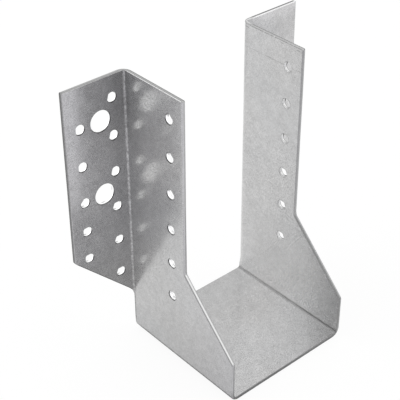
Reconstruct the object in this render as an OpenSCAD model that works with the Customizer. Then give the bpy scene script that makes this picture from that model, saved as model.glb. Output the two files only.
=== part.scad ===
// Joist hanger: one folded sheet of zinc-coated steel. A seat carries the end of the joist,
// two side plates hold it, and two flanges turned outwards are nailed or bolted to the header.
// X runs across the joist, the seat reaches forward along -Y, and Z is up from the seat's underside.
// The backs of the flanges lie in the header plane, and the part is the same on its left and right.

/* [Joist pocket] */
// Clear width between the side plates
joist_gap = 72; // [50:1:120]
// Overall height, from the underside of the seat to the top edges
hanger_height = 153.5; // [150:0.5:200]
// Depth of the seat, from the header plane to its front edge
seat_depth = 76.5; // [60:0.5:100]

/* [Sheet] */
// Thickness of the sheet
sheet_t = 2; // [1.5:0.1:2.5]
// Inner radius of every bend
bend_r = 1.5; // [1:0.5:4]
// Outer radius of every bend, where the sheet stretches and thins a little
bend_outer_r = 5; // [3.5:0.5:6]

/* [Side plates] */
// Depth of the upright strip that the joist is nailed through, from the header plane
strip_depth = 42; // [36:0.5:50]
// Height of the side plates at the front edge of the seat
lip_height = 24.5; // [12:0.5:36]
// Slope of the front edge between the seat's lip and the upright strip, in degrees
front_slope = 45; // [30:1:55]
// How far the rear edge of the seat and of the lower plates stays in front of the header plane
rear_setback = 2; // [1:0.5:3]

/* [Header flanges] */
// Reach of each flange beyond the outer face of its side plate
flange_reach = 34.5; // [32:0.5:45]
// Height of the lower end of each flange's outer edge
flange_foot = 60; // [50:0.5:66]
// Slope of each flange's lower edge, in degrees
foot_slope = 45; // [35:1:45]
// Fillet where a flange's lower edge runs into the rear edge of its side plate
foot_fillet = 6; // [2:0.5:8]

/* [Nail holes] */
// Diameter of the nail holes
nail_d = 5; // [3.5:0.1:6]
// Pitch of the nail holes along a column
nail_pitch = 20; // [18:0.5:21]
// Number of nails in the inner flange column and in the side plate column
nail_rows = 6; // [3:1:6]
// Inner flange column, from the outer face of the side plate
inner_column = 7.5; // [6.5:0.5:8]
// First nail of the inner flange column, below the top edge
inner_drop = 11.5; // [8:0.5:16]
// Outer flange column, from the outer face of the side plate
outer_column = 26; // [24:0.5:28]
// First nail of the outer flange column, below the top edge
outer_drop = 21.5; // [16:0.5:24]
// Nails of the outer flange column that keep the full pitch
outer_rows = 3; // [2:1:3]
// Drop from the last full-pitch nail of the outer column to the next one
outer_gap_upper = 16.5; // [12:0.5:17]
// Drop from that nail to the lowest one of the outer column
outer_gap_lower = 16; // [12:0.5:16]
// Side plate column, behind the front edge of the upright strip
side_column = 9; // [7:0.5:12]
// First nail of the side plate column, below the top edge
side_drop = 12.5; // [8:0.5:16]

/* [Bolt holes] */
// Diameter of the bolt holes in the flanges
bolt_d = 11; // [8:0.5:12]
// Bolt column, from the outer face of the side plate
bolt_column = 14.5; // [13.5:0.5:16]
// Upper bolt, below the top edge
bolt_drop = 21.5; // [20:0.5:23]
// Distance from the upper bolt to the lower one
bolt_pitch = 40; // [38:0.5:42]

/* [Hidden] */
$fn = 64;
past = 1;                                       // how far a cut runs past the sheet
bend_depth = max(bend_outer_r, sheet_t + bend_r);       // from the header plane to the flat of a side plate
inner_x = joist_gap / 2;                        // inner face of a side plate
outer_x = inner_x + sheet_t;                    // outer face of a side plate
flange_x = outer_x + flange_reach;              // outer edge of a flange
header_y = seat_depth / 2;                      // header plane, at the backs of the flanges
front_y = header_y - seat_depth;                // front edge of the seat
strip_y = header_y - strip_depth;               // front edge of the upright strip
bend_y = header_y - bend_depth;                 // where the plate's flat ends and a flange bend begins
rear_y = header_y - rear_setback;               // rear edge of the seat and the lower plates
strip_foot = lip_height + (strip_y - front_y) * tan(front_slope);
foot_z = flange_foot - flange_reach * tan(foot_slope);  // the flange's lower edge, carried in to the plate
foot_run = foot_fillet / tan(45 + foot_slope / 2);      // from that corner to each end of its fillet
join_z = foot_z - foot_run;                     // where the straight rear edge of the plate begins

// Outline of a channel with rounded lower corners: half its width, its lower edge and its corner radius
module channel_outline(half_w, low_z, corner_r) {
    for (side = [-1, 1])
        translate([side * (half_w - corner_r), low_z + corner_r]) circle(r = corner_r);
    translate([-half_w, low_z + corner_r]) square([2 * half_w, hanger_height - low_z - corner_r + past]);
    translate([corner_r - half_w, low_z]) square([2 * (half_w - corner_r), 2 * corner_r]);
}

// Seat, bends and side plates as one folded channel, between two places along the joist
module channel(from_y, to_y) {
    translate([0, to_y, 0]) rotate([90, 0, 0]) linear_extrude(to_y - from_y) difference() {
        channel_outline(outer_x, 0, bend_outer_r);
        channel_outline(inner_x, sheet_t, bend_r);
    }
}

// Side view of the plates: seat lip, sloping front edge, upright strip, and the lower rear edge
module side_outline() {
    polygon([
        [front_y, -past], [front_y, lip_height], [strip_y, strip_foot], [strip_y, hanger_height],
        [bend_y, hanger_height], [bend_y, join_z], [rear_y, join_z], [rear_y, -past]
    ]);
}

module channel_part() {
    color("silver") intersection() {
        channel(front_y, rear_y);
        translate([-outer_x - past, 0, 0]) rotate([90, 0, 90])
            linear_extrude(2 * (outer_x + past)) side_outline();
    }
}

// Plan of all that lies in front of and outside a face that turns from a side plate into its flange
module corner_plan(corner_x, corner_y, corner_r) {
    translate([corner_x + corner_r, corner_y - corner_r]) circle(r = corner_r);
    translate([corner_x + corner_r, front_y]) square([flange_x, corner_y - front_y]);
    translate([corner_x, front_y]) square([flange_x, corner_y - corner_r - front_y]);
}

// Plan of a flange and the bend that joins it to its side plate
module flange_plan() {
    intersection() {
        difference() {
            corner_plan(inner_x, header_y, bend_outer_r);
            corner_plan(outer_x, header_y - sheet_t, bend_r);
        }
        translate([inner_x, bend_y]) square([flange_x - inner_x, bend_depth]);
    }
}

// Front view of the space under a flange, with its corner rounded by the fillet
module flange_clearance() {
    translate([outer_x + foot_fillet, join_z]) circle(r = foot_fillet);
    polygon([
        [outer_x, join_z], [outer_x + foot_run * cos(foot_slope), foot_z + foot_run * sin(foot_slope)],
        [flange_x + past, flange_foot + past * tan(foot_slope)], [flange_x + past, join_z - past],
        [outer_x, join_z - past]
    ]);
}

module flange_part() {
    color("silver") difference() {
        translate([0, 0, join_z]) linear_extrude(hanger_height - join_z) flange_plan();
        translate([0, header_y + past, 0]) rotate([90, 0, 0])
            linear_extrude(bend_depth + 2 * past) flange_clearance();
    }
}

// Round hole through a flange, at its distance out from the side plate and its height
module flange_hole(column, hole_z, hole_d) {
    translate([outer_x + column, header_y + past, hole_z]) rotate([90, 0, 0])
        cylinder(h = sheet_t + 2 * past, d = hole_d);
}

module flange_holes() {
    outer_low = hanger_height - outer_drop - (outer_rows - 1) * nail_pitch - outer_gap_upper;
    for (row = [0 : nail_rows - 1])
        flange_hole(inner_column, hanger_height - inner_drop - row * nail_pitch, nail_d);
    for (row = [0 : outer_rows - 1])
        flange_hole(outer_column, hanger_height - outer_drop - row * nail_pitch, nail_d);
    for (hole_z = [outer_low, outer_low - outer_gap_lower])
        flange_hole(outer_column, hole_z, nail_d);
    for (row = [0, 1])
        flange_hole(bolt_column, hanger_height - bolt_drop - row * bolt_pitch, bolt_d);
}

// Nail holes that run through both side plates, in line
module side_holes() {
    for (row = [0 : nail_rows - 1])
        translate([-outer_x - past, strip_y + side_column, hanger_height - side_drop - row * nail_pitch])
            rotate([0, 90, 0]) cylinder(h = 2 * (outer_x + past), d = nail_d);
}

module hanger() {
    color("silver") difference() {
        union() {
            channel_part();
            flange_part();
            mirror([1, 0, 0]) flange_part();
        }
        flange_holes();
        mirror([1, 0, 0]) flange_holes();
        side_holes();
    }
}

hanger();
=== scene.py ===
# %% [markdown]
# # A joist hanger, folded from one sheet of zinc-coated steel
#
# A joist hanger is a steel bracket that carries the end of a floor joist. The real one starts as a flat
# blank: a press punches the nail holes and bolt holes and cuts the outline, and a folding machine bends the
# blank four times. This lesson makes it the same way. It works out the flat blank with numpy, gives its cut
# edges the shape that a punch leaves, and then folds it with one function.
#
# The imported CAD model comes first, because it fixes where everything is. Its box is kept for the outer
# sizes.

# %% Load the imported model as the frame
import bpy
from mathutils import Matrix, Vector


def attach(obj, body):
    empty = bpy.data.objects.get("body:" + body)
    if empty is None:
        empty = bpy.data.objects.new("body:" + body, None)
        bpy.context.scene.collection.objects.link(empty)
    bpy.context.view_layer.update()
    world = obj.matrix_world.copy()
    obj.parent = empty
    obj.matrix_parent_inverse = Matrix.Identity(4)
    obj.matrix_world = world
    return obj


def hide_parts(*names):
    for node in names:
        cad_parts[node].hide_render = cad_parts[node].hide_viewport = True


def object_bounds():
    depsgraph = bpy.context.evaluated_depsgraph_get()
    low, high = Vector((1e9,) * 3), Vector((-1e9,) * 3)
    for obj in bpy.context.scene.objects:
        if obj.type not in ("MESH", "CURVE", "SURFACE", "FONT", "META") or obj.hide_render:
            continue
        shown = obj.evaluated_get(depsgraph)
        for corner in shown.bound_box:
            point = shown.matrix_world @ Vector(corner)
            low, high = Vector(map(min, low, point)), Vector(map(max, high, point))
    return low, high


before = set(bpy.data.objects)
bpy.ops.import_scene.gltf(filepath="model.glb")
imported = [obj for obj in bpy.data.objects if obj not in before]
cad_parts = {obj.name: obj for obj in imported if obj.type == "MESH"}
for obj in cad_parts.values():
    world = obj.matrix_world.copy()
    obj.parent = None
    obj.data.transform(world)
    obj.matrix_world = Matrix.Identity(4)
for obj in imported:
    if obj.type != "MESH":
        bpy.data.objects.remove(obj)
cad_box = [[float(value) for value in corner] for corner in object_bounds()]
print("CAD box in metres:", cad_box)

# %% Bring in the tools
import bpy
import numpy as np
from mathutils import Matrix
from mathutils.geometry import delaunay_2d_cdt
print("Blender", bpy.app.version_string, "with numpy", np.__version__)

# %% [markdown]
# ## The sizes of the sheet
#
# All lengths are in millimetres until the mesh is made, because that is how a sheet-metal drawing is read.
# The outer sizes come from the CAD box, and the rest repeat the values of the part's source. The middle of
# the sheet keeps its length in a bend, so the blank is laid out along it: a square bend takes up a quarter
# circle with the radius of that middle line. The inside corner is pressed a little tighter than the source
# has it, and the right plate leans in slightly, as a plate of thin steel does.

# %% Sizes in millimetres
flange_edge, header_plane, top_edge = 1000.0 * np.array(cad_box[1])
seat_front = 1000.0 * cad_box[0][1]
pocket = 72.0                                   # clear width between the side plates
sheet = 2.0                                     # thickness of the sheet
bend_outside = 5.0                              # radius on the outside of every bend
bend_inside = 1.2                               # radius in the corner of every bend
bend_middle = bend_outside - sheet / 2          # radius of the line that keeps its length
bend_zone = 0.5 * np.pi * bend_middle           # length of blank that a bend takes up
lip_top = 24.5                                  # height of the side plates at the seat's front
strip_front = header_plane - 42.0               # front edge of the upright strips
rear_edge = header_plane - 2.0                  # rear edge of the seat and the lower plates
flange_foot = 60.0                              # height of the lower end of a flange's outer edge
foot_fillet = 6.0                               # where a flange's lower edge runs into the plate's rear edge
worn = 0.7                                      # how far every sharp corner is rounded
lean = 0.65                                     # how far the right plate leans in from its foot to its top
print("each square bend uses", round(bend_zone, 3), "mm of sheet")

# %% Where the bends lie on the blank
plate_outside = pocket / 2 + sheet
seat_flat = plate_outside - bend_outside        # half of the seat, up to its bend
wall_start = seat_flat + bend_zone              # where a side plate is flat again
wall_low = bend_outside                         # its height there
flange_bend = header_plane - bend_outside       # where the flange's bend starts
flange_start = flange_bend + bend_zone          # where a flange is flat again
bend_axis = pocket / 2 + bend_outside           # how far out the axis of a flange's bend is


def across(height):
    """Distance across the blank, from the middle of the seat, of a height on a side plate."""
    return wall_start + height - wall_low


def along(reach):
    """Distance along the blank of a place on a flange, from how far out it is on the folded hanger.

    On the flat it is a shift. In the bend the reach is axis - radius * cos(turn), so turn is the arc
    cosine of (axis - reach) / radius.
    """
    turn = np.arccos(np.clip((bend_axis - reach) / bend_middle, 0.0, 1.0))
    return float(flange_bend + bend_middle * turn + np.maximum(reach - bend_axis, 0.0))


print("half the blank is", round(across(top_edge), 2), "mm, its length is",
      round(along(flange_edge) - seat_front, 2), "mm")

# %% [markdown]
# ## The outline of the blank
#
# The outline is a list of corners, each with the distance over which it is rounded. The tool that cuts the
# sheet has slightly worn corners, and at the foot of each flange it has a real fillet, because a sharp
# inside corner would tear when the flange is folded. A rounded corner is a quadratic Bezier between two
# points on the edges that meet there.


# %% Corners with a curve, and the outline of one half with its mirror image
def eased(corners, ease, steps=7):
    """Replaces every corner C of an open line, except its ends, by (1-t)^2 A + 2t(1-t) C + t^2 B.

    A and B lie on the edges that meet in C, at the distance ease from it.
    """
    middle = corners[1:-1]
    back = corners[:-2] - middle
    ahead = corners[2:] - middle
    start = middle + back * (ease / np.linalg.norm(back, axis=1))[:, None]
    end = middle + ahead * (ease / np.linalg.norm(ahead, axis=1))[:, None]
    t = np.linspace(0.0, 1.0, steps)[None, :, None]
    curve = (1 - t) ** 2 * start[:, None] + 2 * t * (1 - t) * middle[:, None] + t ** 2 * end[:, None]
    return np.vstack([corners[:1], curve.reshape(-1, 2), corners[-1:]])


strip_foot = lip_top + strip_front - seat_front         # the front edge slopes at 45 degrees
foot_height = flange_foot - (along(flange_edge) - rear_edge)    # and so does the flange's lower edge
half_corners = np.array([
    [0.0, seat_front],
    [across(lip_top), seat_front],
    [across(strip_foot), strip_front],
    [across(top_edge), strip_front],
    [across(top_edge), along(flange_edge)],
    [across(flange_foot), along(flange_edge)],
    [across(foot_height), rear_edge],
    [0.0, rear_edge],
])
fillet_ease = foot_fillet * np.tan(np.radians(22.5))    # an arc that turns by 45 degrees starts this far off
half = eased(half_corners, np.array([worn] * 5 + [fillet_ease]))
outline = np.vstack([half[:-1], half[:0:-1] * [-1.0, 1.0]])
print(len(outline), "points on the outline, and the flange's foot is", round(foot_height, 2), "mm up")

# %% [markdown]
# A fold bends the edges that cross it, so the outline needs points where it crosses the bends, and enough
# of them on its straight stretches. The line is measured by its length, and every new point is a length
# along it.

# %% Divide the outline
step = 2.0
bend_steps = 16
shortest = 0.02                                 # points closer than this become one
clear_step = 0.55 * step                        # how far an added point stays from a fixed one
seat_lines = np.linspace(seat_flat, wall_start, bend_steps + 1)
across_lines = np.concatenate([-seat_lines, seat_lines])
along_lines = np.linspace(flange_bend, flange_start, bend_steps + 1)


def crossings(line, run, axis, places):
    """Lengths at which a closed line crosses given places of one axis, by interpolation on each edge."""
    a = line[:, axis, None]
    b = np.roll(line, -1, 0)[:, axis, None]
    span = np.where(a == b, 1.0, b - a)
    share = (places[None, :] - a) / span
    hit = (share > 0) & (share < 1) & (a != b)
    length = run[:-1, None] + share * np.diff(run)[:, None]
    return length[hit]


def divided(line):
    """A closed line with points at its corners, where it crosses a bend, and about a step apart between."""
    edge = np.linalg.norm(np.roll(line, -1, 0) - line, axis=1)
    run = np.concatenate([[0.0], np.cumsum(edge)])
    on_bends = [crossings(line, run, 0, across_lines), crossings(line, run, 1, along_lines)]
    fixed = np.sort(np.concatenate([run[:-1]] + on_bends))
    fixed = fixed[np.concatenate([[True], np.diff(fixed) > shortest])]
    loose = np.arange(0.0, run[-1], step)
    gap = np.abs(loose[:, None] - np.append(fixed, run[-1])[None, :]).min(1)
    place = np.sort(np.concatenate([fixed, loose[gap > clear_step]]))
    closed = np.vstack([line, line[:1]])
    return np.column_stack([np.interp(place, run, closed[:, 0]), np.interp(place, run, closed[:, 1])])


outline = divided(outline)
print(len(outline), "points on the outline")

# %% [markdown]
# ## The holes
#
# Each flange has a column of six nail holes beside the fold, five more near its outer edge, and two bolt
# holes. Each side plate has six nail holes. They are all round, and the whole pattern is counted down from
# the top edge.

# %% Places of the holes on the blank
nail_hole, bolt_hole, nail_pitch, bolt_pitch = 5.0, 11.0, 20.0, 40.0
inner_column, bolt_column, outer_column = (along(plate_outside + reach) for reach in (7.5, 14.5, 26.0))
side_column = strip_front + 9.0
inner_drops = 11.5 + nail_pitch * np.arange(6)
outer_drops = np.array([21.5, 41.5, 61.5, 78.0, 94.0])
side_drops = 12.5 + nail_pitch * np.arange(6)
bolt_drops = 21.5 + bolt_pitch * np.arange(2)


def column(drops, place):
    """Centres of a column of holes, from their drops below the top edge and their place along the blank."""
    return np.column_stack([across(top_edge - drops), np.full(len(drops), place)])


nails = np.vstack([column(inner_drops, inner_column), column(outer_drops, outer_column),
                   column(side_drops, side_column)])
bolts = column(bolt_drops, bolt_column)
hole_centres = np.vstack([nails, nails * [-1, 1], bolts, bolts * [-1, 1]])
hole_radii = np.repeat([nail_hole / 2, bolt_hole / 2], [2 * len(nails), 2 * len(bolts)])
print(len(hole_radii), "holes")

# %% Rings round the holes
ring_steps = 48
turn = -2 * np.pi * np.arange(ring_steps) / ring_steps
ring_out = np.column_stack([np.cos(turn), np.sin(turn)])
rings = hole_centres[:, None, :] + hole_radii[:, None, None] * ring_out[None]
ring_into = np.broadcast_to(ring_out, rings.shape)
print(rings.shape, "points round the holes")

# %% [markdown]
# ## The shape of a cut edge
#
# A punch first pulls the surface down into a rounded edge, then shears a smooth bright band, and then the
# rest breaks away and leaves a rough band that leans back a little. This is why the edge of punched steel
# shows stripes of different grey. The section below is carried round the outline and round every hole. Its
# first number is how far it lies inside the cut line, and its second one is the place through the
# thickness, from the punch's side to the other. The punch came from the side that is outside on the folded
# hanger.

# %% Section through a cut edge
# distance inside the cut line, place through the sheet, tilt in degrees, share of bare steel, dark rim
profile = np.array([
    [0.45, -1.00, 0.0, 0.0, 0.0],               # the flat face on the punch's side
    [0.32, -0.98, 12.0, 0.0, 0.3],              # the edge that the punch pulls down
    [0.18, -0.90, 35.0, 0.0, 0.9],
    [0.05, -0.79, 65.0, 0.3, 1.0],
    [0.00, -0.68, 84.0, 1.0, 0.6],
    [0.00, -0.45, 86.0, 1.0, 0.0],              # the smooth band
    [0.00, 0.00, 90.0, 1.0, 0.0],
    [0.02, 0.12, 100.0, 1.0, 0.1],              # the broken band, which leans back
    [0.08, 0.86, 102.0, 1.0, 0.2],
    [0.12, 0.95, 140.0, 0.6, 0.6],              # the small edge on the other side
    [0.24, 1.00, 180.0, 0.0, 0.5],
    [0.45, 1.00, 180.0, 0.0, 0.0],
])
section, bare_here, rim_here = profile[:, :2], profile[:, 3], profile[:, 4]
tilt = np.radians(profile[:, 2])
section_normal = np.column_stack([-np.sin(tilt), -np.cos(tilt)])
edge_wide = section[0, 0]
print(len(section), "points in the section")


# %% The side of the cut line that is steel
def inward(line):
    """Direction into the steel at each point of a closed line, for a line that keeps the steel on its left.

    It is the sum of the normals of the two edges that meet there over 1 + their dot product, so that a
    section carried along it keeps its distance from both edges.
    """
    ahead = np.roll(line, -1, 0) - line
    ahead /= np.linalg.norm(ahead, axis=1)[:, None]
    normal = np.column_stack([-ahead[:, 1], ahead[:, 0]])
    before = np.roll(normal, 1, 0)
    return (normal + before) / (1.0 + (normal * before).sum(1))[:, None]


def signed_area(line):
    """Area inside a closed line, half the sum of its cross products: positive where it runs anticlockwise."""
    ahead = np.roll(line, -1, 0)
    return 0.5 * float(np.sum(line[:, 0] * ahead[:, 1] - line[:, 1] * ahead[:, 0]))


outline = outline if signed_area(outline) > 0 else outline[::-1]
cut_line = np.vstack([outline, rings.reshape(-1, 2)])
into_steel = np.vstack([inward(outline), ring_into.reshape(-1, 2)])
loop_sizes = np.array([len(outline)] + [ring_steps] * len(hole_radii))
loop_start = np.concatenate([[0], np.cumsum(loop_sizes)[:-1]])
index = np.arange(len(cut_line))
following = index + 1
following[loop_start + loop_sizes - 1] = loop_start
print(len(cut_line), "points on all cut lines, and a blank of", round(signed_area(outline)), "square mm")

# %% [markdown]
# A cut edge looks different on every side of the hanger: one side catches the lamp, another mirrors the
# steel beside it, and the blade wears unevenly. So each stretch has its own tones for the band of bare
# steel, which are painted highlight and painted reflection as well as wear, and its own strength of the dark
# rim on either side of it, which is partly painted shade. The first line of the list that fits a place
# counts.

# %% How each stretch of the cut edge looks
slack, strip_slack, foot_slack = 0.3, 0.5, 0.1  # how far a stretch reaches past the corner where it starts
out, deep = np.abs(cut_line[:, 0]), cut_line[:, 1]
left = cut_line[:, 0] < 0
hole = index >= len(outline)
flange = deep > flange_start
flange_fold = (deep > flange_bend) & ~flange
top = out > across(top_edge) - worn
end = deep > along(flange_edge) - worn
foot = (deep > rear_edge + foot_slack) & (out < across(flange_foot))
front = deep < strip_front
strip = (deep < strip_front + strip_slack) & (out > across(strip_foot) - slack)
slope = front & (out > across(lip_top) - slack)
lip = front & (out > wall_start)
seat_corner = front & (out > seat_flat + 0.6 * bend_zone)
looks = [       # where; band's tone on the punch's side, in the middle, on the other side; rim on either side
    (hole & left & ~flange, 1.9, 1.9, 1.9, 2.6, 0.3),
    (hole & flange, 1.9, 1.9, 1.9, 2.6, 0.5),
    (hole, 0.6, 1.1, 1.8, 1.6, 0.9),
    (top & flange & left & ~end, 0.10, 0.30, 0.45, 0.3, 0.2),
    (top & flange & ~end, 1.1, -0.1, -0.4, -0.4, 1.3),
    (top & left & ~flange, 0.10, 0.40, 0.0, 0.0, 1.2),
    (top & flange_fold, 1.1, 0.8, 0.5, 0.3, 0.9),
    (top & ~flange, -0.35, 0.6, 1.0, 1.2, 1.6),
    (end & left, -0.35, -0.38, -0.40, 0.35, 0.5),
    (end, 0.0, 0.0, 0.0, 0.5, 0.5),
    (foot, -0.2, -0.2, -0.2, 4.0, 0.3),
    (strip & left, 0.46, 0.40, 0.36, 0.10, 0.3),
    (strip, 0.10, 0.15, 0.20, 0.4, 0.2),
    (slope & left, 0.25, 1.05, 0.15, 0.5, 0.1),
    (slope, -0.05, -0.05, -0.05, 0.6, 0.3),
    (lip & left, 0.45, 0.40, 0.30, 0.1, 1.6),
    (lip, -0.05, -0.05, -0.05, 0.6, 0.4),
    (seat_corner, 0.10, 0.10, 0.10, 0.4, 0.8),
    (front, -0.30, -0.10, 0.0, 2.0, 0.6),
    (deep > 0, 0.3, 0.3, 0.3, 0.9, 1.0),
]
look = np.select([where[:, None] for where, *_ in looks], [np.array(values) for _, *values in looks], 0.0)
print(len(looks), "kinds of cut edge")

# %% [markdown]
# ## The faces of the sheet
#
# Between the cut lines both faces are covered by triangles. A grid of points fills the blank, closer
# together across the bends, and a constrained Delaunay triangulation joins it to the cut lines. The same
# triangles serve both faces.


# %% A grid of points inside the steel
def inside(points, line):
    """True where a horizontal ray from the point crosses the closed line an odd number of times."""
    a, b = line, np.roll(line, -1, 0)
    x, y = points[:, 0, None], points[:, 1, None]
    spans = (a[None, :, 1] > y) != (b[None, :, 1] > y)
    rise = np.where(a[:, 1] == b[:, 1], 1.0, b[:, 1] - a[:, 1])
    cross = a[None, :, 0] + (y - a[None, :, 1]) * ((b - a)[None, :, 0] / rise[None])
    return (spans & (x < cross)).sum(1) % 2 == 1


def spaced(start, end):
    """Places from start to end, about one step apart."""
    return np.linspace(start, end, int(np.ceil((end - start) / step)) + 1)


def clear_of_holes(points, margin):
    """True where a point is further than a margin from the rim of every hole."""
    return (np.linalg.norm(points[:, None] - hole_centres[None], axis=2) > hole_radii + margin).all(1)


edge_gap, hole_gap = 1.35, 1.0                  # how far the grid stays from the cut lines and the holes
half_lines = np.concatenate([seat_lines, spaced(wall_start, across(top_edge))[1:]])
grid_across = np.concatenate([-half_lines, spaced(-seat_flat, seat_flat)[1:-1], half_lines])
grid_along = np.concatenate([spaced(seat_front, flange_bend)[:-1], along_lines,
                             spaced(flange_start, along(flange_edge))[1:]])
grid = np.stack(np.meshgrid(grid_across, grid_along, indexing="ij"), -1).reshape(-1, 2)
grid = grid[inside(grid, outline)]
nearest = np.full(len(grid), np.inf)
for batch in np.array_split(cut_line, 8):
    nearest = np.minimum(nearest, np.linalg.norm(grid[:, None] - batch[None], axis=2).min(1))
grid = grid[(nearest > edge_gap) & clear_of_holes(grid, hole_gap)]
print(len(grid), "points between the cut lines")

# %% Join the points with triangles
flat_points = np.vstack([cut_line + edge_wide * into_steel, grid])
edges = np.column_stack([index, following])
result = delaunay_2d_cdt(flat_points.tolist(), edges.tolist(), [], 0, 1e-5)
assert len(result[0]) == len(flat_points), "the triangulation added or merged points"
original = np.array([ids[0] for ids in result[3]])
triangles = original[np.array(result[2])]
centre = flat_points[triangles].mean(1)
triangles = triangles[inside(centre, outline) & clear_of_holes(centre, 0.0)]
print(len(triangles), "triangles on each face")

# %% [markdown]
# ## Folding the blank
#
# One function folds the sheet. It takes the place across the blank, the place along it, and the height
# above the middle of the sheet, where the positive side becomes the inside of the pocket. First each flange
# turns outwards round its bend, then each side plate turns up round the seat's bend. The machine bends the
# whole height of the plate, so the rear edge of the lower plate curls outwards a little too, and this fades
# out at the seat's bend.

# %% The curl that fades, and the waves of the sheet
fade_start, fade_length = 0.6 * bend_outside, 6.0   # height where the curl starts, and how far it takes
wave_height = 0.035


def faded(height):
    """Share of the flange's bend at a height: 0 in the seat's bend, 1 above it, and 3h^2 - 2h^3 between."""
    h = np.clip((height - fade_start) / fade_length, 0.0, 1.0)
    return 3 * h ** 2 - 2 * h ** 3


def waves(p, q):
    """Height of the faint waves that rolling and folding leave in thin sheet: a sum of slow sines."""
    long_wave = np.sin(0.061 * p + 0.5) * np.sin(0.083 * q + 1.0)
    return wave_height * (long_wave + 0.6 * np.sin(0.13 * p - 0.07 * q + 2.0))


print("the waves are up to", np.abs(waves(*grid.T)).max().round(3), "mm high")


# %% One bend
def bent(length, straight, radius):
    """A line that runs straight, turns a quarter circle and runs on: how far forward and aside it gets.

    In the turn, forward is straight + radius * sin(turn) and aside is radius * (1 - cos(turn)).
    """
    arc = radius * np.pi / 2
    turn = np.clip(length - straight, 0.0, arc) / radius
    rest = np.maximum(length - straight - arc, 0.0)
    return np.minimum(length, straight) + radius * np.sin(turn), radius * (1 - np.cos(turn)) + rest


def corner(length):
    """Both skins of a bend that starts at 0: the outer one, on a wide arc, and the inner one, on a tight arc.

    Each skin is stretched or squeezed so that both end together, where the sheet is flat again.
    """
    straight = bend_outside - sheet - bend_inside
    outer_share = 0.5 * np.pi * bend_outside / bend_zone
    inner_share = (2 * straight + 0.5 * np.pi * bend_inside) / bend_zone
    before = np.minimum(length, 0.0)
    within = np.clip(length, 0.0, bend_zone)
    beyond = np.maximum(length - bend_zone, 0.0)
    outer = bent(before + within * outer_share + beyond, 0.0, bend_outside)
    inner = bent(before + within * inner_share + beyond, straight, bend_inside)
    return outer, inner


print("the two skins of a bend end at", np.round(corner(bend_zone), 3).tolist(), "mm")


# %% The whole fold
def folded(p, q, w):
    """Folds points of the blank (p across, q along, w through the sheet) into the hanger.

    A point between the two skins of the sheet divides the line between them in the same shares as before.
    At the end the right plate is moved outwards, by its lean times its depth below the top over the height.
    """
    w = w + waves(p, q)
    side_of, reach = np.sign(p), np.abs(p)
    back_skin, front_skin = corner(q - flange_bend)
    share = 0.5 + w / sheet
    y = flange_bend + front_skin[0] + share * (back_skin[0] - front_skin[0])
    aside = front_skin[1] + share * (back_skin[1] - front_skin[1])
    join = np.where(q > flange_start, 1.0, faded(reach - wall_start + wall_low))
    y = q + join * (y - q)
    w = w - join * aside
    under_skin, top_skin = corner(reach - seat_flat)
    share = 0.5 - w / sheet
    x = seat_flat + top_skin[0] + share * (under_skin[0] - top_skin[0])
    z = sheet + top_skin[1] + share * (under_skin[1] - sheet - top_skin[1])
    right_lean = np.where(p > 0, lean, 0.0) * np.clip(reach / seat_flat, 0.0, 1.0)
    return np.stack([side_of * (x + right_lean * (1 - z / top_edge)), y, z], -1)


def folded_normals(p, q, w, normal):
    """Carries normals of the flat blank through the fold.

    With the three derivatives A, B and C of the fold, a normal (a, b, c) becomes a BxC + b CxA + c AxB.
    """
    e = 1e-4
    A = folded(p + e, q, w) - folded(p - e, q, w)
    B = folded(p, q + e, w) - folded(p, q - e, w)
    C = folded(p, q, w + e) - folded(p, q, w - e)
    turned = (normal[:, :1] * np.cross(B, C) + normal[:, 1:2] * np.cross(C, A)
              + normal[:, 2:] * np.cross(A, B))
    return turned / np.linalg.norm(turned, axis=1)[:, None]


strip_top = half_corners[3]
print("the corner at", strip_top.round(1), "on the blank folds to", folded(*strip_top, 0.0).round(1), "mm")

# %% [markdown]
# ## From the blank to a mesh
#
# Every point of the section and of the grid now goes through the fold, and its normal too. The mesh keeps
# these normals instead of averaging its triangles, so that the flat faces stay flat right up to their
# rounded edges. It also carries a few numbers at every point, which tell the finish where the bare steel
# and the folds are, and a UV map of the blank.

# %% All points of the sheet
rows, inner_points = len(section), 2 * len(grid)
edge_flat = cut_line[None] + section[:, 0, None, None] * into_steel[None]
edge_through = np.broadcast_to(section[:, 1, None], edge_flat.shape[:2])
level = into_steel / np.linalg.norm(into_steel, axis=1)[:, None]
edge_normal = np.concatenate([
    section_normal[:, 0, None, None] * level[None],
    np.broadcast_to(section_normal[:, 1, None, None], edge_flat.shape[:2] + (1,))], -1)
up = np.tile([0.0, 0.0, 1.0], (len(grid), 1))
flat = np.vstack([edge_flat.reshape(-1, 2), grid, grid])
through = np.concatenate([edge_through.ravel(), np.repeat([-sheet / 2, sheet / 2], len(grid))])
flat_normal = np.vstack([edge_normal.reshape(-1, 3), -up, up])
points = folded(flat[:, 0], flat[:, 1], through)
normals = folded_normals(flat[:, 0], flat[:, 1], through, flat_normal)
print(len(points), "points, folded box from", points.min(0).round(2), "to", points.max(0).round(2), "mm")

# %% What the finish needs to know about each point
middle_band = 0.3                               # half of the thickness that takes the middle tone
rim_least, rim_most = -0.5, 1.15
bare, rim = (np.append(np.repeat(here, len(cut_line)), np.zeros(inner_points))
             for here in (bare_here, rim_here))
look = np.vstack([np.tile(look, (rows, 1)), np.zeros((inner_points, look.shape[1]))])
# tone of the bare band at each point: painted highlight and painted reflection, partly wear
bright = np.select([through < -middle_band, through < middle_band], [look[:, 0], look[:, 1]], look[:, 2])
rim = np.clip(rim * np.where(through < 0, look[:, 3], look[:, 4]), rim_least, rim_most)
seat_crease = (np.abs(flat[:, 0]) - seat_flat) / bend_zone * 2 - 1
flange_crease = (flat[:, 1] - flange_bend) / bend_zone * 2 - 1
carried_values = {"cut": bare, "through": through / sheet + 0.5, "rim": rim, "bright": bright,
                  "seat_crease": seat_crease, "flange_crease": flange_crease}
print("bare steel at", int((bare > 0.5).sum()), "points")

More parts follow.
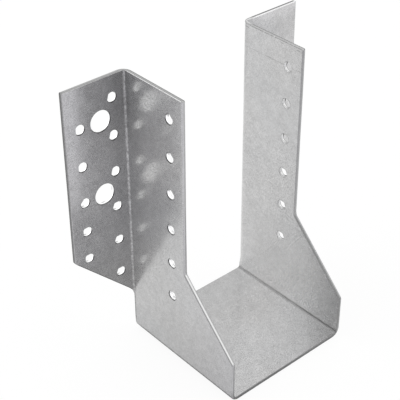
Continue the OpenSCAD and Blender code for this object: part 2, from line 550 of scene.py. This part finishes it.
# %% All faces of the sheet
count = len(cut_line)
ring = np.arange(rows - 1)[:, None] * count
strips = np.stack([ring + index, ring + following, ring + count + following, ring + count + index], -1)
strips = strips.reshape(-1, 4)
on_edge = triangles < count
punch_side = np.where(on_edge, triangles, triangles - count + rows * count)
other_side = np.where(on_edge, triangles + (rows - 1) * count, triangles - count + rows * count + len(grid))
a, b, c = (flat_points[triangles[:, k]] for k in range(3))
anticlockwise = ((b - a)[:, 0] * (c - a)[:, 1] - (b - a)[:, 1] * (c - a)[:, 0]) > 0
upward = np.where(anticlockwise[:, None], other_side, other_side[:, ::-1])
downward = np.where(anticlockwise[:, None], punch_side[:, ::-1], punch_side)
print(len(strips), "faces on the cut edges,", 2 * len(triangles), "on the two faces")

# %% Make the mesh
mesh = bpy.data.meshes.new("hanger_sheet")
corners = np.concatenate([strips.ravel(), upward.ravel(), downward.ravel()])
sizes = np.repeat([4, 3], [len(strips), 2 * len(triangles)])
mesh.vertices.add(len(points))
mesh.vertices.foreach_set("co", (points * 0.001).ravel())
mesh.loops.add(len(corners))
mesh.loops.foreach_set("vertex_index", corners)
mesh.polygons.add(len(sizes))
mesh.polygons.foreach_set("loop_start", np.concatenate([[0], np.cumsum(sizes)[:-1]]))
mesh.update(calc_edges=True)
print("mesh valid:", not mesh.validate())
mesh.shade_smooth()
mesh.normals_split_custom_set_from_vertices(normals.tolist())
for name, values in carried_values.items():
    mesh.attributes.new(name, "FLOAT", "POINT").data.foreach_set("value", values)
blank_uv = mesh.uv_layers.new(name="blank")
blank_uv.data.foreach_set("uv", (flat * 0.001)[corners].ravel())
hanger = bpy.data.objects.new("hanger_sheet", mesh)
bpy.context.scene.collection.objects.link(hanger)
print("triangles:", int((sizes - 2).sum()))

# %% [markdown]
# ## Shader maths in Python
#
# A finish is a formula, and a formula is easier to read as one than as a web of nodes. The small class
# below wraps a socket, so that arithmetic on it adds Math nodes, and one function makes every other node.


# %% A wire that can be calculated with
class Wire:
    """The output of a shader node. Arithmetic with numbers and other wires adds Math nodes."""

    def __init__(self, tree, socket):
        self.tree, self.socket = tree, socket

    def math(self, operation, *values):
        sockets = {str(place): value for place, value in enumerate(values)}
        return node(self.tree, "ShaderNodeMath", {"operation": operation}, **sockets)[0]

    def __add__(self, other):
        return self.math("ADD", self, other)

    def __radd__(self, other):
        return self.math("ADD", other, self)

    def __sub__(self, other):
        return self.math("SUBTRACT", self, other)

    def __rsub__(self, other):
        return self.math("SUBTRACT", other, self)

    def __mul__(self, other):
        return self.math("MULTIPLY", self, other)

    def __rmul__(self, other):
        return self.math("MULTIPLY", other, self)

    def between(self, low, high):
        """0 below low, 1 above high, and a smooth step from one to the other."""
        return node(self.tree, "ShaderNodeMapRange", {"interpolation_type": "SMOOTHSTEP"},
                    Value=self, **{"From Min": low, "From Max": high})[0]


def node(tree, kind, settings=None, **inputs):
    """Adds a node: first its settings, then the values or wires of its sockets, by name or number.

    Returns its outputs as wires.
    """
    made = tree.nodes.new(kind)
    for name, value in (settings or {}).items():
        setattr(made, name, value)
    for name, value in inputs.items():
        socket = made.inputs[int(name)] if name.isdigit() else made.inputs[name]
        if isinstance(value, Wire):
            tree.links.new(value.socket, socket)
        else:
            socket.default_value = value
    return [Wire(tree, out) for out in made.outputs]


# %% [markdown]
# ## The zinc coating
#
# Hot-dip zinc freezes into crystals. On modern sheet they are small and look like a fine grey speckle, each
# one a little lighter or darker than its neighbours, with larger soft clouds where the coat is thicker.
# Under white studio light the metal mirrors its surroundings in a blurred way, so the tone comes mostly
# from a Metallic surface of about half-bright grey, and the pattern only varies its colour, roughness and
# slope a little.


# %% An empty material, and the place of a point in it
def empty_tree(owner):
    """Turns on an owner's nodes, removes the ones it starts with, and returns the tree."""
    owner.use_nodes = True
    owner.node_tree.nodes.clear()
    return owner.node_tree


def split(vector):
    """The three coordinates of a vector."""
    return node(vector.tree, "ShaderNodeSeparateXYZ", {}, Vector=vector)


zinc = bpy.data.materials.new("zinc_coated_steel")
tree = empty_tree(zinc)
place = node(tree, "ShaderNodeTexCoord")[3]
x, y, z = split(place)
print(zinc.name, "starts with", len(tree.nodes), "nodes")


# %% Patterns of the coat, on the hanger's own coordinates
def noise(scale, detail=2.0, roughness=0.5, where=place):
    """Smooth noise about 0.5, with a feature size of roughly 1 / scale metres."""
    return node(where.tree, "ShaderNodeTexNoise", {}, Vector=where, Scale=scale, Detail=detail,
                Roughness=roughness)[0]


def carried(name):
    """A number that the mesh carries at each point."""
    return node(tree, "ShaderNodeAttribute", {"attribute_name": name})[2]


crystal = node(tree, "ShaderNodeTexVoronoi", {"feature": "F1"}, Vector=place, Scale=620.0, Randomness=1.0)
crystal_tone = node(tree, "ShaderNodeSeparateColor", {}, Color=crystal[1])[0]
speckle = noise(1500.0, 2.0, 0.6)
mottle = noise(260.0, 3.0, 0.6)
cloud = noise(30.0, 3.0, 0.55)
depth = carried("through")
inner_face = depth.between(0.9, 0.99)
outer_face = 1 - depth.between(0.01, 0.1)
print("the patterns bring it to", len(tree.nodes), "nodes")


# %% Tone and roughness of the coat
def blended(share, first, second, kind="MIX"):
    """Mixes two colours: the first where share is 0, the second where it is 1."""
    tree = next(value.tree for value in (share, first, second) if isinstance(value, Wire))
    return node(tree, "ShaderNodeMix", {"data_type": "RGBA", "blend_type": kind},
                **{"0": share, "6": first, "7": second})[2]


def grey(tone):
    """A colour with the same tone in red, green and blue."""
    return node(tone.tree, "ShaderNodeCombineColor", {}, Red=tone, Green=tone, Blue=tone)[0]


pattern = 0.05 * (crystal_tone - 0.5) + 0.25 * (speckle - 0.5) + 0.14 * (mottle - 0.5) + 0.08 * (cloud - 0.5)
warm, cool = (1.0, 0.996, 0.995, 1.0), (0.995, 0.996, 1.0, 1.0)
tint = blended(noise(22.0, 1.0, 0.5).between(0.35, 0.65), warm, cool)
coat_colour = blended(1.0, grey(0.50 + pattern), tint, "MULTIPLY")
dull = noise(2600.0, 1.0, 0.5).between(0.48, 0.60)
coat_rough = 0.195 + 0.31 * dull + 0.04 * (crystal_tone - 0.5) + 0.04 * (cloud - 0.5)
print("tone and roughness bring it to", len(tree.nodes), "nodes")

# %% [markdown]
# Handling leaves marks on the inside of the right plate: a line that was scribed below its top edge, and
# scuffs along the edge itself. Both follow the top edge, wander a little and break off in places.

# %% Marks of handling on the right plate
inside_x, outside_x = 0.001 * pocket / 2, 0.001 * plate_outside
on_right = x.between(inside_x - 0.002, inside_x - 0.001)
below_top = 0.001 * float(top_edge) - z
wander = 0.0004 * (noise(40.0) - 0.5)


def line_at(distance, half_width):
    """1 on a thin line that lies a distance below the top edge, and 0 beside it."""
    shift = below_top + wander - distance
    off = shift.math("ABSOLUTE", shift)
    return 1 - off.between(0.4 * half_width, half_width)


stretched = node(tree, "ShaderNodeVectorMath", {"operation": "MULTIPLY"},
                 **{"0": place, "1": (1.0, 0.25, 1.0)})[0]
broken_up = noise(500.0, where=stretched)
scribed = line_at(0.0122, 0.0003) * (0.35 + 0.65 * broken_up.between(0.42, 0.52))
scuffed = line_at(0.0016, 0.00045) * broken_up.between(0.50, 0.56)
marks = on_right * inner_face * (0.22 * scribed + 0.32 * scuffed)
print("the marks of handling bring it to", len(tree.nodes), "nodes")

# %% [markdown]
# Painted shade darkens each fold: a thin dark line in the corner of each seat bend, a mottled one in the
# corner outside each flange bend, a wider shade beside each flange bend that is strongest towards its top,
# and a shade on the underside of the seat bends, just above the floor. The mesh carries where a point lies in
# a
# bend: -1 where it starts and 1 where it ends.

# %% Painted shade in the folds
ragged_line = 0.12 * (mottle - 0.5) + 0.06 * (speckle - 0.5)
seat_line = carried("seat_crease") + ragged_line
flange_line = carried("flange_crease") + ragged_line
off_seat_line, off_flange_line = seat_line * seat_line, flange_line * flange_line
# painted shade: thin dark lines in the corner of each seat bend and, mottled, in the corner outside each
# flange bend
seat_crease_shade = (1 - off_seat_line.between(0.01, 0.13)) * inner_face
flange_crease_shade = (1 - off_flange_line.between(0.03, 0.16)) * outer_face
mottled_flange_shade = flange_crease_shade * noise(900.0, 2.0, 0.6).between(0.42, 0.60)
# painted shade beside each flange bend, strongest towards the top of the flange
near_flange_bend = outer_face * (1 - off_flange_line.between(0.0, 16.0))
flange_corner_shade = (near_flange_bend * (0.4 + 0.6 * z.between(0.06, 0.15))
                  * (0.5 + 0.8 * flange_line.between(-1.0, 1.5)))
# painted shade on the underside of the seat bends, just above the floor
shade_under_seat_bend = outer_face * (1 - off_seat_line.between(0.7, 1.2)) * (1 - z.between(0.0020, 0.0050))
# the painted shade of all the folds together
fold_shade = (1 - 0.52 * seat_crease_shade - 0.35 * mottled_flange_shade) * (1 - 0.14 * flange_corner_shade - 0.55 * shade_under_seat_bend)
print("the folds bring it to", len(tree.nodes), "nodes")

# %% [markdown]
# Some zones of the coat are made lighter or darker as painted light and painted shade. The seat is a little
# lighter at its front than at its rear, the right plate and most of all its flange are lighter than the rest,
# a strip along the top edge where the right plate turns into its flange is lighter still, and a patch high on
# the left flange is darker. Each of these zones is a product of smooth steps on the coordinates, which needs
# no picture and moves with one number.


# %% Painted light and shade on the coat
def darkened(colour, tone):
    """A colour times a tone."""
    return blended(1.0, colour, grey(tone), "MULTIPLY")


# painted light and painted shade: the seat lighter at its front and darker at its rear, the right plate and
# its flange lighter, a lighter strip at the top where the right plate turns into its flange, a darker patch
# high on the left flange
on_seat = (1 - z.between(0.0022, 0.0030)) * inner_face
seat_light_and_shade = 1 + on_seat * (0.045 - 0.09 * y.between(-0.015, 0.035))
right_painted_light = 1 + 0.035 * on_right + 0.09 * x.between(outside_x + 0.002, outside_x + 0.005)
top_painted_light = ((1 - below_top.between(0.001, 0.007)) * x.between(inside_x, inside_x + 0.001)
            * y.between(0.030, 0.033))
high_flange_shade = x.between(-0.070, -0.055) * y.between(0.032, 0.035) * z.between(0.110, 0.140)
painted_light_and_shade = seat_light_and_shade * right_painted_light * (1 + 0.16 * top_painted_light) * (1 - 0.14 * high_flange_shade)
# the painted shade of the folds, the painted light and shade of the zones, and the marks of handling
coat_colour = darkened(coat_colour, fold_shade * painted_light_and_shade * (1 - marks))
coat_rough = coat_rough + 0.20 * seat_crease_shade + 0.12 * flange_crease_shade
print("the zones bring it to", len(tree.nodes), "nodes")

# %% [markdown]
# The cut edges have no zinc. Their first band is sheared smooth and shines, the second is broken and dull,
# with a dark ragged line where the break starts. The mesh carries how far through the sheet a point is, and
# whether it is on a cut, so the bands need no picture.

# %% Bands of the cut edge
is_cut = carried("cut")
ragged = depth + 0.10 * (noise(500.0, 3.0, 0.6) - 0.5)
broken = ragged.between(0.50, 0.56)
crack = broken * (1 - ragged.between(0.58, 0.68))
# painted highlight and painted reflection of each stretch of cut edge, partly wear
bright = carried("bright")
band_dark = (1 - 0.55 * bright) * (0.06 * broken + 0.08 * crack)
steel_colour = grey(0.32 + 0.36 * bright - band_dark + 0.20 * (speckle - 0.5))
steel_rough = 0.26 + 0.14 * broken
# dark rim along the cut lines; its strength on each stretch is partly painted shade
rim_line = carried("rim") * noise(700.0, 2.0, 0.6).between(0.15, 0.45)
colour = darkened(blended(is_cut, coat_colour, steel_colour), 1 - 0.80 * rim_line)
rough = coat_rough + is_cut * (steel_rough - coat_rough)
print("the cut edges bring it to", len(tree.nodes), "nodes")

# %% [markdown]
# The coat is almost smooth. The patterns that vary its tone also lift it a little, so lighter spots stand
# higher, and the broken band of a cut is rough. Relief this fine would need millions of triangles, so a
# Bump node tilts the light instead. Zinc and steel are both metal, so all of it goes into one Principled
# surface.

# %% Slope of the surface, and the finished material
relief = 0.6 * mottle + 0.4 * speckle + 1.5 * is_cut * broken * noise(900.0, 2.0, 0.6)
bump = node(tree, "ShaderNodeBump", {}, Strength=0.12, Distance=0.0002, Height=relief)[0]
surface = node(tree, "ShaderNodeBsdfPrincipled", {}, **{
    "Base Color": colour, "Metallic": 1.0, "Roughness": rough, "Normal": bump})[0]
node(tree, "ShaderNodeOutputMaterial", {}, Surface=surface)
mesh.materials.append(zinc)
print("finish made with", len(tree.nodes), "nodes")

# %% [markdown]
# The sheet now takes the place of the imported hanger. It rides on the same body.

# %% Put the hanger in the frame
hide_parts("hanger")
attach(hanger, "root")
print(hanger.name, "replaces the packed hanger")

# %% [markdown]
# ## Floor and light
#
# The photograph was taken on white, in an even light from all sides, as in a light tent. The floor is a
# pale matt sheet. What the camera sees of it is lifted to white by Light Path, and a part of its own
# shading stays, so the hanger still has its shadow. What the metal mirrors of it is a glow of its own:
# white, a little brighter and darker in places as paper is under a lamp, and dark where the hanger stands
# on it.

# %% A wide pale floor
floor_radius, floor_points, floor_drop = 6.0, 96, 0.0003
around = np.linspace(0.0, 2 * np.pi, floor_points, endpoint=False)
disc = np.column_stack([floor_radius * np.cos(around), floor_radius * np.sin(around),
                        np.full(floor_points, -floor_drop)])
floor_mesh = bpy.data.meshes.new("floor")
floor_mesh.from_pydata(disc.tolist(), [], [list(range(floor_points))])
floor = bpy.data.objects.new("floor", floor_mesh)
bpy.context.scene.collection.objects.link(floor)
print("floor", 2 * floor_radius, "m across")


# %% How the metal sees the floor
def toward(vector, direction):
    """How far a vector points in a direction: their dot product."""
    return node(vector.tree, "ShaderNodeVectorMath", {"operation": "DOT_PRODUCT"},
                **{"0": vector, "1": direction})[1]


paper = bpy.data.materials.new("white_paper")
tree = empty_tree(paper)
spot = node(tree, "ShaderNodeTexCoord")[3]
spot_x, spot_y, _ = split(spot)
forward = toward(spot, (-0.5, -0.86, 0.0))
leftward = toward(spot, (-0.707, 0.707, 0.0))
left_floor = 1 - spot_x.between(-0.02, 0.05)
# painted light and painted shadow in the glow that the metal mirrors: brighter and darker zones, and dark
# where the hanger stands
lit = (1.045 + 0.12 * (1 - left_floor) + 0.05 * spot_y.between(0.03, 0.08)
       - 0.14 * left_floor * forward.between(0.0, 0.14)
       + 0.22 * leftward.between(0.038, 0.058) * forward.between(0.0, 0.08))


def shade(distance):
    """How open the floor is: 1 in the open, and less where the hanger stands within a distance."""
    return node(tree, "ShaderNodeAmbientOcclusion", {"samples": 8}, Distance=distance)[1]


near_shade, contact = shade(0.045), shade(0.005).between(0.2, 1.0)
shadow = (0.10 + 0.90 * contact) * (0.10 + 0.90 * near_shade.between(0.0, 0.52)) * (0.74 + 0.26 * near_shade)
bluish = blended(forward.between(0.0, 0.10), (1.0, 1.0, 1.0, 1.0), (0.965, 0.957, 1.0, 1.0))
mirrored = node(tree, "ShaderNodeEmission", {}, Color=bluish, Strength=lit * shadow)[0]
print("the mirrored floor has", len(tree.nodes), "nodes")

# %% How the camera sees the floor
seen_by = node(tree, "ShaderNodeLightPath")
camera_ray, glossy_ray, reflected_ray = seen_by[0], seen_by[3], seen_by[6]
matt = node(tree, "ShaderNodeBsdfDiffuse", {}, Color=grey(0.86 + 0.02 * noise(400.0, where=spot)))[0]
white = node(tree, "ShaderNodeEmission", {}, Color=(1, 1, 1, 1), Strength=1.0)[0]
lifted = node(tree, "ShaderNodeMixShader", {}, **{"0": 0.92 * camera_ray, "1": matt, "2": white})[0]
shown = node(tree, "ShaderNodeMixShader", {}, **{
    "0": 0.85 * glossy_ray + 0.85 * reflected_ray, "1": lifted, "2": mirrored})[0]
node(tree, "ShaderNodeOutputMaterial", {}, Surface=shown)
floor_mesh.materials.append(paper)
print("floor made with", len(tree.nodes), "nodes")

# %% [markdown]
# Metal shows what is round it, so the surroundings are drawn for the metal: white on all sides, with a
# brighter part high on the right, a bright panel in front of it, and a darker wall behind the camera. The
# camera itself sees plain white. A picture of a studio could do the same, but a formula keeps the scene in
# one file.

# %% The white surroundings
world = bpy.data.worlds.new("light_tent")
bpy.context.scene.world = world
tree = empty_tree(world)
heading = node(tree, "ShaderNodeTexCoord")[0]
heading_x, heading_y, heading_z = split(heading)
ceiling = heading_z.between(0.35, 0.55) * heading_x.between(0.2, 0.4)
panel = toward(heading, (0.54, -0.61, 0.58)).between(0.88, 0.97)
dark_wall = toward(heading, (-0.65, -0.74, 0.15)).between(0.60, 0.95)
uneven = 0.06 + ceiling * (0.13 - 0.22 * heading_y.between(0.47, 0.60)) + 0.35 * panel - 0.40 * dark_wall
camera_ray = node(tree, "ShaderNodeLightPath")[0]
glow = 1.0 + (1 - camera_ray) * uneven
backdrop = node(tree, "ShaderNodeBackground", {}, Color=(1, 1, 1, 1), Strength=glow)[0]
node(tree, "ShaderNodeOutputWorld", {}, Surface=backdrop)
bpy.context.scene.view_settings.view_transform = "Standard"
print("surroundings made with", len(tree.nodes), "nodes")

# %% [markdown]
# One large soft lamp stands high behind the hanger, on its left. It brightens what faces it and gives the
# floor a faint shadow. It is large, because a small lamp would draw a hard shadow that the photograph
# doesn't have.


# %% A soft lamp
def softbox(name, direction, distance, size, radiance):
    """A square area lamp that faces the hanger. Its power is radiance * pi * area."""
    direction = np.array(direction, float) / np.linalg.norm(direction)
    lamp = bpy.data.lights.new(name, "AREA")
    lamp.shape, lamp.size = "SQUARE", size
    lamp.energy = radiance * np.pi * size ** 2
    side_axis = np.cross([0.0, 0.0, 1.0], direction)
    side_axis /= np.linalg.norm(side_axis)
    middle_of_hanger = np.array([0.0, 0.0, 0.07])
    pose = np.eye(4)
    pose[:3, :3] = np.column_stack([side_axis, np.cross(direction, side_axis), direction])
    pose[:3, 3] = middle_of_hanger + distance * direction
    holder = bpy.data.objects.new(name, lamp)
    holder.matrix_world = Matrix(pose.tolist())
    holder.visible_camera = False
    bpy.context.scene.collection.objects.link(holder)
    print(name, "shines with", round(lamp.energy, 2), "W")


softbox("key_softbox", (-0.54, 0.62, 0.62), distance=1.8, size=1.5, radiance=1.32)

# %% [markdown]
# ## The camera
#
# The camera stands where the photographer stood. Its place, direction and lens were found by fitting the
# edges and holes of the hanger to the photograph, so they are given as plain numbers. It is turned about
# its own axis by a sixth of a degree.

# %% Camera
azimuth, elevation, roll = np.radians(-41.2609), np.radians(34.6440), -0.00285
camera_place = [-0.30085, -0.31515, 0.38418]
sensor, lens_per_sensor = 36.0, 2.72733
back = np.array([np.sin(azimuth) * np.cos(elevation), -np.cos(azimuth) * np.cos(elevation),
                 np.sin(elevation)])
right = np.array([np.cos(azimuth), np.sin(azimuth), 0.0])
upright = np.cross(back, right)
turned_right = np.cos(roll) * right + np.sin(roll) * upright
turned_up = np.cos(roll) * upright - np.sin(roll) * right
pose = np.eye(4)
pose[:3, :3] = np.column_stack([turned_right, turned_up, back])
pose[:3, 3] = camera_place
lens = bpy.data.cameras.new("camera")
lens.sensor_width = sensor
lens.lens = lens_per_sensor * sensor
lens.clip_start, lens.clip_end = 0.01, 50.0
camera = bpy.data.objects.new("camera", lens)
camera.matrix_world = Matrix(pose.tolist())
bpy.context.scene.collection.objects.link(camera)
bpy.context.scene.camera = camera
print("camera at", camera_place, "with a lens of", round(lens.lens, 2), "mm")
